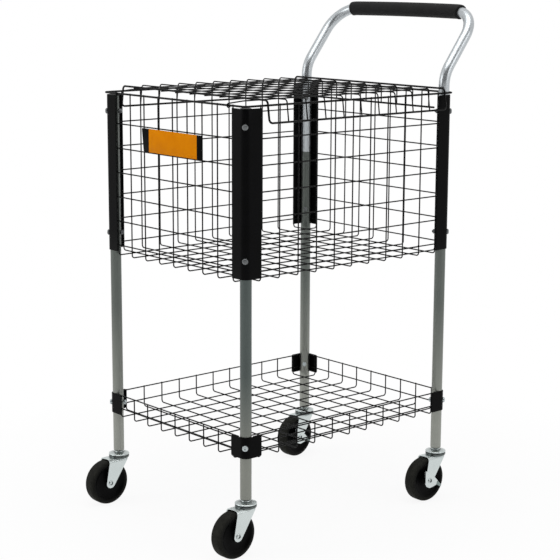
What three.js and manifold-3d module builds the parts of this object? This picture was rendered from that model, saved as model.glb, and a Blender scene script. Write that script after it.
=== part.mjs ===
// Ball cart: a welded wire basket and a wire tray carried by four tube legs, with a hinged wire
// lid, a bent push handle with a foam grip, a name plate without lettering and four swivel casters.
// Millimetres, +Z up. The front, which carries the plate and the lid hinge, faces -Y, and the
// handle is at the back. Left and right are as seen from the front. Heights are above the floor.
import * as THREE from 'three';
import { mergeVertices } from 'three/addons/utils/BufferGeometryUtils.js';
import Module from 'manifold-3d';

const wasm = await Module();
wasm.setup();

// Driving dimensions: frame
const legSpacingX = 473;
const legSpacingY = 592;
const tubeDiameter = 25;
const tubeWall = 1.5;
const rimHeight = 971.7;

// Driving dimensions: wire work
const wireDiameter = 3;
const heavyWireDiameter = 4.5;
const weldSinkShare = 1 / 3;
const frontColumnCount = 9;
const sideColumnCount = 11;
const rowPitch = 56;
const basketRowCount = 6;
const topRowDrop = 69;
const basketFloorDrop = 23;
const trayRimHeight = 263.2;
const trayMiddleRowDrop = 31.5;
const trayFloorDrop = 51;

// Driving dimensions: sheet brackets
const sheetThickness = 2;
const basketBracketReachX = 28.5;
const basketBracketReachY = 31;
const trayBracketReach = 32.3;

// Driving dimensions: casters
const wheelDiameter = 104;
const wheelWidth = 30;
const wheelTrail = 37;
const forkSheet = 2.6;
const forkCrownGap = 2.2;
const lowerDiscHeight = 5.4;
const discSlope = 4;
const discEdge = 1.7;
const collarHeight = 3.5;

// Gap between pieces that seat on each other, gap round pins and plugs, and overrun of every cut
const clearance = 0.3;
const runningGap = 0.6;
const overrun = 2;

// Counts of flat sides on round pieces
const tubeSides = 12;
const gripSides = 16;
const straightWireSides = 4;
const bentWireSides = 6;
const smallSides = 8;
const wheelSides = 24;
const discSides = 16;

const halfX = legSpacingX / 2;
const halfY = legSpacingY / 2;
const tubeRadius = tubeDiameter / 2;
const boreRadius = tubeRadius - tubeWall;
const plugRadius = boreRadius - runningGap;
const weldSink = wireDiameter * weldSinkShare;
const wireRadius = wireDiameter / 2;
const heavyRadius = heavyWireDiameter / 2;

// The brackets hug the tubes, the wire panels lie inside the brackets, the rim lies just outside
// the panels and the tubes. All these distances are from the plane of the leg axes.
const bracketInner = tubeRadius + clearance;
const bracketOuter = bracketInner + sheetThickness;
const panelOuter = bracketInner - clearance;
const rimOffset = tubeRadius + clearance + heavyRadius;

// The outermost upright of each panel is centred on the edge of the bracket flange.
const columnPitchX = (legSpacingX - 2 * basketBracketReachX) / (frontColumnCount - 1);
const columnPitchY = (legSpacingY - 2 * basketBracketReachY) / (sideColumnCount - 1);

// Rows of the basket are counted down from the top one. The floors hang from the lowest rows.
const topRowHeight = rimHeight - topRowDrop;
const basketRows = Array.from({ length: basketRowCount }, (unused, i) => topRowHeight - i * rowPitch);
const basketFloorHeight = basketRows.at(-1) - basketFloorDrop;
const trayMiddleRowHeight = trayRimHeight - trayMiddleRowDrop;
const trayFloorHeight = trayRimHeight - trayFloorDrop;

// Casters are stacked up from the floor: wheel, fork crown, the two discs, collar, leg.
const crownBottom = wheelDiameter + forkCrownGap;
const crownTop = crownBottom + forkSheet;
const lowerDiscTop = crownTop + lowerDiscHeight;
const upperDiscBottom = lowerDiscTop + clearance;
const upperDiscTop = upperDiscBottom + discEdge + discSlope;
const collarTop = upperDiscTop + collarHeight;
const legBottomHeight = collarTop + clearance;

// Corners of the cart, with the signs of X and Y
const corners = [
  { name: 'front_left', x: -1, y: -1 },
  { name: 'front_right', x: 1, y: -1 },
  { name: 'rear_left', x: -1, y: 1 },
  { name: 'rear_right', x: 1, y: 1 },
];

const cart = new THREE.Group();
const lid = new THREE.Group();
cart.add(lid);

// Finishes, one new material for each piece
const finishes = {
  silverPaint: { color: 0x8d8f90, roughness: 0.38, metalness: 0.6 },
  blackCoat: { color: 0x0d0e0f, roughness: 0.42, metalness: 0.2 },
  blackWire: { color: 0x141516, roughness: 0.45, metalness: 0.2 },
  zinc: { color: 0xc3cdcd, roughness: 0.32, metalness: 0.9 },
  dullSteel: { color: 0x77797a, roughness: 0.45, metalness: 0.8 },
  blackFoam: { color: 0x1b1b1c, roughness: 0.92, metalness: 0 },
  blackPlastic: { color: 0x111212, roughness: 0.5, metalness: 0 },
  blackRubber: { color: 0x171816, roughness: 0.68, metalness: 0 },
  orangePrint: { color: 0xd67c08, roughness: 0.4, metalness: 0 },
};

// A closed geometry becomes a solid once only its positions are left and its vertices are shared.
const mergeShare = 0.001;

function solid(geometry) {
  const bare = geometry.clone();
  bare.deleteAttribute('normal');
  bare.deleteAttribute('uv');
  const merged = mergeVertices(bare, clearance * mergeShare);
  const index = merged.index.array;
  const triangles = [];
  for (let i = 0; i < index.length; i += 3) {
    const [a, b, c] = [index[i], index[i + 1], index[i + 2]];
    if (a !== b && b !== c && c !== a) triangles.push(a, b, c);
  }
  const vertProperties = new Float32Array(merged.attributes.position.array);
  const triVerts = new Uint32Array(triangles);
  return new wasm.Manifold(new wasm.Mesh({ numProp: 3, vertProperties, triVerts }));
}

function joined(solids) {
  return solids.reduce((sum, next) => sum.add(next));
}

function cut(base, tools) {
  return tools.reduce((rest, tool) => rest.subtract(tool), base);
}

function addPiece(name, body, finish, parent = cart) {
  const { vertProperties, triVerts } = body.getMesh();
  const geometry = new THREE.BufferGeometry();
  geometry.setAttribute('position', new THREE.BufferAttribute(vertProperties, 3));
  geometry.setIndex(new THREE.BufferAttribute(triVerts, 1));
  geometry.computeVertexNormals();
  const piece = new THREE.Mesh(geometry, new THREE.MeshStandardMaterial(finishes[finish]));
  piece.name = name;
  parent.add(piece);
  return piece;
}

// A block between two limits on each axis
function block(xs, ys, zs) {
  const [sizeX, sizeY, sizeZ] = [xs, ys, zs].map(([low, high]) => high - low);
  const geometry = new THREE.BoxGeometry(sizeX, sizeY, sizeZ);
  geometry.translate((xs[0] + xs[1]) / 2, (ys[0] + ys[1]) / 2, (zs[0] + zs[1]) / 2);
  return solid(geometry);
}

// A straight wire along one axis, with its edges up, down and to both sides
function straightWire(axis, [low, high], place, diameter) {
  const radius = diameter / 2;
  const geometry = new THREE.CylinderGeometry(radius, radius, high - low, straightWireSides);
  if (axis === 'x') geometry.rotateZ(Math.PI / 2);
  if (axis === 'z') geometry.rotateX(Math.PI / 2);
  const middle = { ...place, [axis]: (low + high) / 2 };
  geometry.translate(middle.x, middle.y, middle.z);
  return solid(geometry);
}

// A turned piece: the profile lists radius and height, from bottom to top, about the Z axis.
// Flats, not edges, face along the axes.
function lathe(profile, sides) {
  const points = profile.map(([radius, along]) => new THREE.Vector2(radius, along));
  return new THREE.LatheGeometry(points, sides, Math.PI / sides);
}

function turned(profile, sides) {
  const geometry = lathe(profile, sides);
  geometry.rotateX(Math.PI / 2);
  return solid(geometry);
}

// The same about the X axis, the profile listing radius and place along X
function turnedAlongX(profile, sides) {
  const geometry = lathe(profile, sides);
  geometry.rotateZ(-Math.PI / 2);
  return solid(geometry);
}

// A flat sheet in the YZ plane, its outline listing Y and Z, thick along X from one place
function sheetAcrossX(outline, from, thickness) {
  const shape = new THREE.Shape(outline.map(([y, z]) => new THREE.Vector2(y, z)));
  const geometry = new THREE.ExtrudeGeometry(shape, { depth: thickness, bevelEnabled: false });
  const axes = [new THREE.Vector3(0, 1, 0), new THREE.Vector3(0, 0, 1), new THREE.Vector3(1, 0, 0)];
  geometry.applyMatrix4(new THREE.Matrix4().makeBasis(...axes));
  geometry.translate(from, 0, 0);
  return solid(geometry);
}

function circlePath(radius, sides, Kind) {
  const path = new Kind();
  for (let i = 0; i < sides; i += 1) {
    const angle = (2 * Math.PI * (i + 1 / 2)) / sides;
    const point = [radius * Math.cos(angle), radius * Math.sin(angle)];
    if (i === 0) path.moveTo(...point);
    else path.lineTo(...point);
  }
  path.closePath();
  return path;
}

// A straight tube standing along Z
function standingTube(radius, bore, bottom, top) {
  const section = circlePath(radius, tubeSides, THREE.Shape);
  section.holes.push(circlePath(bore, tubeSides, THREE.Path));
  const geometry = new THREE.ExtrudeGeometry(section, { depth: top - bottom, bevelEnabled: false });
  geometry.translate(0, 0, bottom);
  return solid(geometry);
}

// A path of stations, each with a place and a direction. Rings are placed only at the stations,
// so a straight stretch takes none.
class StationCurve extends THREE.Curve {
  constructor(stations) {
    super();
    this.stations = stations;
  }

  between(t, key, target) {
    const place = t * (this.stations.length - 1);
    const index = Math.min(Math.floor(place), this.stations.length - 2);
    const [from, to] = [this.stations[index][key], this.stations[index + 1][key]];
    return target.lerpVectors(from, to, place - index);
  }

  getPoint(t, target = new THREE.Vector3()) {
    return this.between(t, 'place', target);
  }

  getTangent(t, target = new THREE.Vector3()) {
    return this.between(t, 'direction', target).normalize();
  }

  getUtoTmapping(u) {
    return u;
  }
}

// Stations of a bend: from its start, going along one direction and turning to another
const bendStep = THREE.MathUtils.degToRad(18);
const fewestBendSteps = 2;

function bend(start, from, to, radius) {
  const turn = from.angleTo(to);
  const steps = Math.max(fewestBendSteps, Math.round(turn / bendStep));
  const inward = to.clone().addScaledVector(from, -to.dot(from)).normalize();
  const stations = [];
  for (let i = 0; i <= steps; i += 1) {
    const angle = (turn * i) / steps;
    const place = start.clone()
      .addScaledVector(from, radius * Math.sin(angle))
      .addScaledVector(inward, radius * (1 - Math.cos(angle)));
    const direction = from.clone().multiplyScalar(Math.cos(angle)).addScaledVector(inward, Math.sin(angle));
    stations.push({ place, direction });
  }
  return stations;
}

// Stations of a line through points, with its inner corners rounded to the given radii
function roundedLine(points, radii) {
  const directions = points.slice(1).map((point, i) => point.clone().sub(points[i]).normalize());
  const stations = [{ place: points[0], direction: directions[0] }];
  for (let i = 1; i < points.length - 1; i += 1) {
    const [from, to] = [directions[i - 1], directions[i]];
    const setback = radii[i - 1] * Math.tan(from.angleTo(to) / 2);
    const start = points[i].clone().addScaledVector(from, -setback);
    stations.push(...bend(start, from, to, radii[i - 1]));
  }
  stations.push({ place: points.at(-1), direction: directions.at(-1) });
  return stations;
}

function swept(stations, section) {
  const settings = { steps: stations.length - 1, extrudePath: new StationCurve(stations), bevelEnabled: false };
  return solid(new THREE.ExtrudeGeometry(section, settings));
}

// Legs: straight tubes. The rear ones end where the handle tube plugs in, the front ones end just
// under the rim and carry a plastic plug. Bolts go through the tubes along the corner diagonal.
const handleJointDrop = 173.35;
const bracketRimGap = 2.4;
const bracketFloorRise = 8.5;
const basketBracketTop = rimHeight - heavyRadius - bracketRimGap;
const basketBracketBottom = basketFloorHeight + bracketFloorRise;
const handleJointHeight = basketBracketTop - handleJointDrop;
const frontLegTopDrop = 2;
const frontLegTop = basketBracketTop - frontLegTopDrop;
const upperBoltDrop = 38;
const lowerBoltRise = 40;
const boltShankRadius = 3;
const upperBoltHeight = basketBracketTop - upperBoltDrop;
const lowerBoltHeight = basketBracketBottom + lowerBoltRise;

function boltHole(corner, height) {
  const radius = boltShankRadius + clearance;
  const reach = bracketOuter + overrun;
  const hole = turnedAlongX([[0, -reach], [radius, -reach], [radius, reach], [0, reach]], smallSides);
  const angle = THREE.MathUtils.radToDeg(Math.atan2(corner.y, corner.x));
  return hole.rotate([0, 0, angle]).translate([0, 0, height]);
}

for (const corner of corners) {
  const front = corner.y < 0;
  const top = front ? frontLegTop : handleJointHeight;
  const tube = standingTube(tubeRadius, boreRadius, legBottomHeight, top);
  const holes = [boltHole(corner, lowerBoltHeight)];
  if (front) holes.push(boltHole(corner, upperBoltHeight));
  const leg = addPiece(`${corner.name}_leg`, cut(tube, holes), 'silverPaint');
  leg.position.set(corner.x * halfX, corner.y * halfY, 0);
}

// Leg caps: plastic plugs with a thin rounded head
const capHead = 2.4;
const capRounding = 1;
const capPlugDepth = 14;
for (const corner of corners.filter(({ y }) => y < 0)) {
  const seat = frontLegTop + clearance;
  const profile = [
    [0, seat - capPlugDepth],
    [plugRadius, seat - capPlugDepth],
    [plugRadius, seat],
    [tubeRadius, seat],
    [tubeRadius, seat + capHead - capRounding],
    [tubeRadius - capRounding, seat + capHead],
    [0, seat + capHead],
  ];
  const cap = addPiece(`${corner.name}_leg_cap`, turned(profile, tubeSides), 'blackPlastic');
  cap.position.set(corner.x * halfX, corner.y * halfY, 0);
}

// Handle: one tube bent into a leaning hoop whose bar is a little bowed. Its two ends are drawn down
// and plug into the legs.
const handleBarRise = 179.7;
const handleBarSetback = 108.1;
const handleLean = THREE.MathUtils.degToRad(37.81);
const handleLeanRadius = 73.6;
const handleCornerRadius = 68;
const handleBow = 3.6;
const handleBowRadius = 9000;
const spigotDepth = 40;
const spigotShoulder = 8;
const barY = halfY + handleBarSetback;
const handleBarHeight = rimHeight + handleBarRise;
const leanHeight = handleBarHeight - handleBarSetback / Math.tan(handleLean);
const handleLine = [
  new THREE.Vector3(-halfX, halfY, handleJointHeight + clearance),
  new THREE.Vector3(-halfX, halfY, leanHeight),
  new THREE.Vector3(-halfX, barY, handleBarHeight),
  new THREE.Vector3(0, barY + handleBow * Math.sin(handleLean), handleBarHeight + handleBow * Math.cos(handleLean)),
  new THREE.Vector3(halfX, barY, handleBarHeight),
  new THREE.Vector3(halfX, halfY, leanHeight),
  new THREE.Vector3(halfX, halfY, handleJointHeight + clearance),
];
const handleRadii = [handleLeanRadius, handleCornerRadius, handleBowRadius, handleCornerRadius, handleLeanRadius];
const handleStations = roundedLine(handleLine, handleRadii);
const hoopSection = circlePath(tubeRadius, tubeSides, THREE.Shape);
hoopSection.holes.push(circlePath(boreRadius, tubeSides, THREE.Path));
const hoop = swept(handleStations, hoopSection);
const spigotBore = plugRadius - tubeWall;
const spigotSeat = handleJointHeight + clearance;
const spigot = turned([
  [spigotBore, spigotSeat - spigotDepth],
  [plugRadius, spigotSeat - spigotDepth],
  [plugRadius, spigotSeat],
  [boreRadius + tubeWall / 2, spigotSeat],
  [boreRadius + tubeWall / 2, spigotSeat + spigotShoulder],
  [spigotBore, spigotSeat + spigotShoulder],
  [spigotBore, spigotSeat - spigotDepth],
], tubeSides);
const spigots = [-halfX, halfX].map((x) => spigot.translate([x, halfY, 0]));
const handleHoles = corners.filter(({ y }) => y > 0)
  .map((corner) => boltHole(corner, upperBoltHeight).translate([corner.x * halfX, corner.y * halfY, 0]));
addPiece('handle_tube', cut(joined([hoop, ...spigots]), handleHoles), 'silverPaint');

// A profile whose flats, not its edges, lie at the radii that it lists
function roundOutside(profile, sides) {
  return profile.map(([radius, along]) => [radius / Math.cos(Math.PI / sides), along]);
}

// The stretch of a line of stations that lies within half a length of its middle
function middleStretch(stations, length) {
  const runs = [0];
  for (let i = 1; i < stations.length; i += 1) {
    runs.push(runs.at(-1) + stations[i].place.distanceTo(stations[i - 1].place));
  }
  const middle = runs.at(-1) / 2;
  const [low, high] = [middle - length / 2, middle + length / 2];
  const at = (run) => {
    const next = runs.findIndex((each) => each > run);
    const share = (run - runs[next - 1]) / (runs[next] - runs[next - 1]);
    const [from, to] = [stations[next - 1], stations[next]];
    const direction = from.direction.clone().lerp(to.direction, share).normalize();
    return { place: from.place.clone().lerp(to.place, share), direction };
  };
  return [at(low), ...stations.filter((station, i) => runs[i] > low && runs[i] < high), at(high)];
}

// Grip: a foam sleeve about the bar of the handle and the start of each bend
const gripLength = 369;
const gripWall = 4.4;
const gripBore = tubeRadius + clearance;
const gripRadius = gripBore + gripWall;
const [[outerCorner], [boreCorner]] = roundOutside([[gripRadius, gripLength], [gripBore, gripLength]], gripSides);
const gripSection = circlePath(outerCorner, gripSides, THREE.Shape);
gripSection.holes.push(circlePath(boreCorner, gripSides, THREE.Path));
addPiece('handle_grip', swept(middleStretch(handleStations, gripLength), gripSection), 'blackFoam');

// Brackets: sheet angles bent round the outside of the tubes. Their flanges carry the wire panels.
const trayBracketRise = 1.8;
const trayBracketHeight = 47.5;
const bracketArcSteps = 4;

function bracketOutline(corner, reachX, reachY) {
  const arc = (radius, from, to) => {
    const points = [];
    for (let i = 0; i <= bracketArcSteps; i += 1) {
      const angle = from + ((to - from) * i) / bracketArcSteps;
      points.push([radius * Math.cos(angle), radius * Math.sin(angle)]);
    }
    return points;
  };
  const points = [
    [-reachX, bracketOuter],
    ...arc(bracketOuter, Math.PI / 2, 0),
    [bracketOuter, -reachY],
    [bracketInner, -reachY],
    ...arc(bracketInner, 0, Math.PI / 2),
    [-reachX, bracketInner],
  ];
  return new THREE.Shape(points.map(([x, y]) => new THREE.Vector2(x * corner.x, y * corner.y)));
}

function bracket(corner, reachX, reachY, bottom, top) {
  const settings = { depth: top - bottom, bevelEnabled: false };
  const geometry = new THREE.ExtrudeGeometry(bracketOutline(corner, reachX, reachY), settings);
  geometry.translate(0, 0, bottom);
  return solid(geometry);
}

for (const corner of corners) {
  const angle = bracket(corner, basketBracketReachX, basketBracketReachY, basketBracketBottom, basketBracketTop);
  const holes = [lowerBoltHeight, upperBoltHeight].map((height) => boltHole(corner, height));
  const basketBracket = addPiece(`${corner.name}_basket_bracket`, cut(angle, holes), 'blackCoat');
  basketBracket.position.set(corner.x * halfX, corner.y * halfY, 0);
  const top = trayRimHeight + trayBracketRise;
  const clip = bracket(corner, trayBracketReach, trayBracketReach, top - trayBracketHeight, top);
  const trayBracket = addPiece(`${corner.name}_tray_bracket`, clip, 'blackCoat');
  trayBracket.position.set(corner.x * halfX, corner.y * halfY, 0);
}

// Bolts: a button head outside the bracket and a nut on the far side of the tube
const boltHeadRadius = 6.5;
const boltHeadHeight = 4;
const boltDome = 1.8;
const nutRadius = 5.5;
const nutHeight = 5;
const boltTail = 2.5;
const headSeat = bracketOuter + clearance;
const nutSeat = -(tubeRadius + clearance);
const boltProfile = [
  [0, nutSeat - nutHeight - boltTail],
  [boltShankRadius, nutSeat - nutHeight - boltTail],
  [boltShankRadius, nutSeat - nutHeight],
  [nutRadius, nutSeat - nutHeight],
  [nutRadius, nutSeat],
  [boltShankRadius, nutSeat],
  [boltShankRadius, headSeat],
  [boltHeadRadius, headSeat],
  [boltHeadRadius, headSeat + boltHeadHeight - boltDome],
  [boltHeadRadius - boltDome, headSeat + boltHeadHeight],
  [0, headSeat + boltHeadHeight],
];
for (const corner of corners) {
  const heights = { top: upperBoltHeight, bottom: lowerBoltHeight };
  for (const [end, height] of Object.entries(heights)) {
    const bolt = addPiece(`${corner.name}_${end}_bolt`, turnedAlongX(boltProfile, smallSides), 'dullSteel');
    bolt.position.set(corner.x * halfX, corner.y * halfY, height);
    bolt.rotation.z = Math.atan2(corner.y, corner.x);
  }
}

// Wire panels: uprights on the outside and rows welded to them on the inside. A panel is drawn as
// the front one, facing -Y, and turned to its side.
function places(count, pitch) {
  return Array.from({ length: count }, (unused, i) => (i - (count - 1) / 2) * pitch);
}

function wirePanel({ columns, rows, rowHalfLength, bottom, top, offset }) {
  const uprightY = -(offset + panelOuter - wireRadius);
  const rowY = uprightY + wireDiameter - weldSink;
  const uprights = columns.map((x) => straightWire('z', [bottom, top], { x, y: uprightY }, wireDiameter));
  const rowSpan = [-rowHalfLength, rowHalfLength];
  const bars = rows.map((z) => straightWire('x', rowSpan, { y: rowY, z }, wireDiameter));
  return joined([...uprights, ...bars]);
}

const columnsX = places(frontColumnCount, columnPitchX);
const columnsY = places(sideColumnCount, columnPitchY);
const rowEnd = tubeRadius + clearance;
const sides = [
  { name: 'front', turn: 0, columns: columnsX, rowHalfLength: halfX - rowEnd, offset: halfY },
  { name: 'back', turn: Math.PI, columns: columnsX, rowHalfLength: halfX - rowEnd, offset: halfY },
  { name: 'left', turn: -Math.PI / 2, columns: columnsY, rowHalfLength: halfY - rowEnd, offset: halfX },
  { name: 'right', turn: Math.PI / 2, columns: columnsY, rowHalfLength: halfY - rowEnd, offset: halfX },
];

// Floor grid: wires along Y below and wires along X above them, ending at the side panels
function floorGrid(height) {
  const reach = panelOuter - wireDiameter - clearance;
  const spanY = [-halfY - reach, halfY + reach];
  const spanX = [-halfX - reach, halfX + reach];
  const upper = height + wireDiameter - weldSink;
  const alongY = columnsX.map((x) => straightWire('y', spanY, { x, z: height }, wireDiameter));
  const alongX = columnsY.map((y) => straightWire('x', spanX, { y, z: upper }, wireDiameter));
  return joined([...alongY, ...alongX]);
}

for (const side of sides) {
  const basketPanel = wirePanel({
    ...side, rows: basketRows, bottom: basketFloorHeight - wireRadius, top: rimHeight + heavyRadius,
  });
  addPiece(`basket_${side.name}`, basketPanel, 'blackWire').rotation.z = side.turn;
  const trayPanel = wirePanel({
    ...side,
    rows: [trayRimHeight, trayMiddleRowHeight],
    bottom: trayFloorHeight - wireRadius,
    top: trayRimHeight + wireRadius,
  });
  addPiece(`tray_${side.name}`, trayPanel, 'blackWire').rotation.z = side.turn;
}
addPiece('basket_floor', floorGrid(basketFloorHeight), 'blackWire');
addPiece('tray_floor', floorGrid(trayFloorHeight), 'blackWire');

// Rim: a closed hoop of heavy wire welded to the outside of the uprights
const rimCornerRadius = 8;
const rimX = halfX + rimOffset;
const rimY = halfY + rimOffset;
const rimStations = [[1, -1], [1, 1], [-1, 1], [-1, -1]].flatMap(([signX, signY]) => {
  const corner = new THREE.Vector3(signX * rimX, signY * rimY, rimHeight);
  const alongX = new THREE.Vector3(-signX, 0, 0);
  const alongY = new THREE.Vector3(0, -signY, 0);
  const [inward, outward] = signX === signY ? [alongY, alongX] : [alongX, alongY];
  const start = corner.clone().addScaledVector(inward, rimCornerRadius);
  return bend(start, inward.clone().negate(), outward, rimCornerRadius);
});
rimStations.push(rimStations[0]);
const rimTube = new THREE.TubeGeometry(
  new StationCurve(rimStations), rimStations.length - 1, heavyRadius, bentWireSides, true,
);
addPiece('basket_rim', solid(rimTube), 'blackWire');

// Name plate: a plain plate on the front uprights, one row high
const plateLength = 216;
const plateThickness = 2;
const plateRowGap = 2;
const plateSeat = -(halfY + panelOuter + clearance);
const plate = block(
  [-plateLength / 2, plateLength / 2],
  [plateSeat - plateThickness, plateSeat],
  [topRowHeight - rowPitch + plateRowGap, topRowHeight - plateRowGap],
);
addPiece('name_plate', plate, 'orangePrint');

// Lid: a wire cap hinged on the front stretch of the rim. Wires along X carry on down outside the
// basket as two skirts, and wires along Y turn down behind as a short skirt between the tubes.
const lidRise = 11;
const lidBackGap = 7.5;
const lidSkirtDepth = 46.6;
const lidSkirtFlare = 7.5;
const lidSideGap = 2.2;
const lidWireOverhang = 3;
const lidBackBarDrop = 45;
const lidBackBarInset = 10.5;
const lidBarHeight = rimHeight + lidRise;
const lidWireBottom = lidBarHeight - heavyRadius;
const lidBackY = halfY - tubeRadius - lidBackGap;
const lidRowsY = columnsY.map((y, i) => lidBackY - i * columnPitchY);
const lidFrontY = lidRowsY.at(-1);
const lidHalfX = rimX + heavyRadius + lidSideGap;
const lidLowerTop = lidWireBottom + weldSink;
const isEdgeRow = (y) => y === lidBackY || y === lidFrontY;

const lidSpanX = [-lidHalfX - wireRadius, lidHalfX + wireRadius];
const lidSpanY = [lidFrontY - heavyRadius - lidWireOverhang, lidBackY + heavyRadius];
const lidAcross = lidRowsY.map((y) => {
  const diameter = isEdgeRow(y) ? heavyWireDiameter : wireDiameter;
  return straightWire('x', lidSpanX, { y, z: lidWireBottom + diameter / 2 }, diameter);
});
const lidAlong = columnsX.map((x) => straightWire(
  'y', lidSpanY, { x, z: lidLowerTop - wireRadius }, wireDiameter,
));
addPiece('lid_top', joined([...lidAcross, ...lidAlong]), 'blackWire', lid);

// Side skirts: flat while drawn, then leaned out about their top edge
const skirtLength = Math.hypot(lidSkirtDepth, lidSkirtFlare) - heavyRadius;
for (const [name, side] of [['left', -1], ['right', 1]]) {
  const uprights = lidRowsY.map((y) => {
    const diameter = isEdgeRow(y) ? heavyWireDiameter : wireDiameter;
    return straightWire('z', [-skirtLength, 0], { x: 0, y }, diameter);
  });
  const barSpan = [lidFrontY - heavyRadius, lidBackY + heavyRadius];
  const bar = straightWire('y', barSpan, { x: 0, z: -skirtLength }, heavyWireDiameter);
  const skirt = addPiece(`lid_${name}_skirt`, joined([...uprights, bar]), 'blackWire', lid);
  skirt.position.set(side * lidHalfX, 0, lidWireBottom - clearance - heavyRadius * (lidSkirtFlare / lidSkirtDepth));
  skirt.rotation.y = -side * Math.atan2(lidSkirtFlare, lidSkirtDepth);
}

// Back skirt: hangs inside the basket, clear of the handle tubes
const backSkirtTop = lidLowerTop - wireDiameter - clearance;
const backBarHeight = lidBarHeight - lidBackBarDrop;
const backBarHalfX = halfX - lidBackBarInset;
const backUprights = columnsX.map((x) => straightWire(
  'z', [backBarHeight, backSkirtTop], { x, y: lidBackY }, wireDiameter,
));
const backBarPlace = { y: lidBackY, z: backBarHeight };
const backBar = straightWire('x', [-backBarHalfX, backBarHalfX], backBarPlace, heavyWireDiameter);
addPiece('lid_back_skirt', joined([...backUprights, backBar]), 'blackWire', lid);

// Hinge wires: welded under the lid and curled round the rim, which is their pin
const hingeInset = 9;
const hingeOverlap = 58;
const hingeCurlGap = 0.4;
const hingeCurlSteps = 10;
const hingeCurlStart = THREE.MathUtils.degToRad(97);
const hingeCurlTurn = THREE.MathUtils.degToRad(265);
const hingeArmBend = 18;
const hingeX = columnsX.at(-1) - hingeInset;
const curlRadius = heavyRadius + hingeCurlGap + wireRadius;
const hingeArmHeight = lidWireBottom - wireRadius - clearance;
const hingeArmBack = lidFrontY + hingeOverlap;
const hingeStations = (x) => {
  const armEnd = new THREE.Vector3(x, hingeArmBack, hingeArmHeight);
  const armKnee = new THREE.Vector3(x, lidFrontY - hingeArmBend, hingeArmHeight);
  const curl = [];
  for (let i = 0; i <= hingeCurlSteps; i += 1) {
    const angle = hingeCurlStart + (hingeCurlTurn * i) / hingeCurlSteps;
    const place = new THREE.Vector3(
      x, curlRadius * Math.cos(angle) - rimY, curlRadius * Math.sin(angle) + rimHeight,
    );
    curl.push({ place, direction: new THREE.Vector3(0, -Math.sin(angle), Math.cos(angle)) });
  }
  const forward = new THREE.Vector3(0, -1, 0);
  return [{ place: armEnd, direction: forward }, { place: armKnee, direction: forward }, ...curl];
};
for (const [name, side] of [['left', -1], ['right', 1]]) {
  const wire = swept(hingeStations(side * hingeX), circlePath(wireRadius, bentWireSides, THREE.Shape));
  addPiece(`lid_${name}_hinge_wire`, wire, 'blackWire', lid);
}

// Casters: a stem with the upper disc stays in the leg, the fork with the lower disc swivels under
// it, and the wheel trails behind the stem. The rear ones have a side brake lever on the axle.
const stemLength = 40;
const collarRadius = 12.2;
const discRadius = 24.4;
const lowerDiscRadius = 24;
const pinRadius = 6;
const pinHeadRadius = 9;
const pinHeadHeight = 3.6;
const forkSideGap = 1.3;
const forkTipRadius = 12;
const forkBack = 38.5;
const forkFront = 15;
const axleRadius = 4;
const axleHeadRadius = 6.2;
const axleHeadHeight = 1.8;
const wheelRadius = wheelDiameter / 2;
const forkInner = wheelWidth / 2 + forkSideGap;
const forkOuter = forkInner + forkSheet;

const stem = turned([
  [0, crownBottom - clearance - pinHeadHeight],
  [pinHeadRadius, crownBottom - clearance - pinHeadHeight],
  [pinHeadRadius, crownBottom - clearance],
  [pinRadius, crownBottom - clearance],
  [pinRadius, upperDiscBottom],
  [discRadius, upperDiscBottom],
  [discRadius, upperDiscBottom + discEdge],
  [collarRadius, upperDiscTop],
  [collarRadius, collarTop],
  [plugRadius, collarTop],
  [plugRadius, collarTop + stemLength],
  [0, collarTop + stemLength],
], discSides);

// Fork leg outline in Y and Z: wide at the crown, tapering to a round tip about the axle
const forkTipSteps = 6;
const forkTipStart = THREE.MathUtils.degToRad(186);
const forkTipEnd = THREE.MathUtils.degToRad(328);
const forkOutline = [[forkFront, crownTop], [-forkBack, crownTop]];
for (let i = 0; i <= forkTipSteps; i += 1) {
  const angle = forkTipStart + ((forkTipEnd - forkTipStart) * i) / forkTipSteps;
  const [y, z] = [forkTipRadius * Math.cos(angle), forkTipRadius * Math.sin(angle)];
  forkOutline.push([y - wheelTrail, z + wheelRadius]);
}
const axleHoleRadius = axleRadius + runningGap;
const axleHole = turnedAlongX([
  [0, -forkOuter - overrun],
  [axleHoleRadius, -forkOuter - overrun],
  [axleHoleRadius, forkOuter + overrun],
  [0, forkOuter + overrun],
], smallSides).translate([0, -wheelTrail, wheelRadius]);
const pinHole = turned([
  [0, crownBottom - overrun],
  [pinRadius + runningGap, crownBottom - overrun],
  [pinRadius + runningGap, lowerDiscTop + overrun],
  [0, lowerDiscTop + overrun],
], smallSides);
const lowerDisc = turned([
  [0, crownTop - forkSheet / 2],
  [lowerDiscRadius - discEdge, crownTop - forkSheet / 2],
  [lowerDiscRadius, crownTop + discEdge],
  [lowerDiscRadius, lowerDiscTop],
  [0, lowerDiscTop],
], discSides);
const fork = cut(joined([
  block([-forkOuter, forkOuter], [-forkBack, forkFront], [crownBottom, crownTop]),
  sheetAcrossX(forkOutline, forkInner, forkSheet),
  sheetAcrossX(forkOutline, -forkOuter, forkSheet),
  lowerDisc,
]), [axleHole, pinHole]);

// Wheel: hub, dished web and rounded tread in one turned profile about the axle
const hubRadius = 11;
const hubHalfWidth = forkInner - clearance;
const webRadius = 16;
const webHalfWidth = 9;
const tyreShoulderRadius = 47;
const treadHalfWidth = 12.4;
const halfProfile = [
  [axleHoleRadius, hubHalfWidth],
  [hubRadius, hubHalfWidth],
  [webRadius, webHalfWidth],
  [tyreShoulderRadius, wheelWidth / 2],
  [wheelRadius, treadHalfWidth],
];
const wheelProfile = [
  ...halfProfile.map(([radius, along]) => [radius, -along]),
  ...halfProfile.toReversed(),
  [axleHoleRadius, -hubHalfWidth],
];
const wheel = turnedAlongX(roundOutside(wheelProfile, wheelSides), wheelSides);

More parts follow.
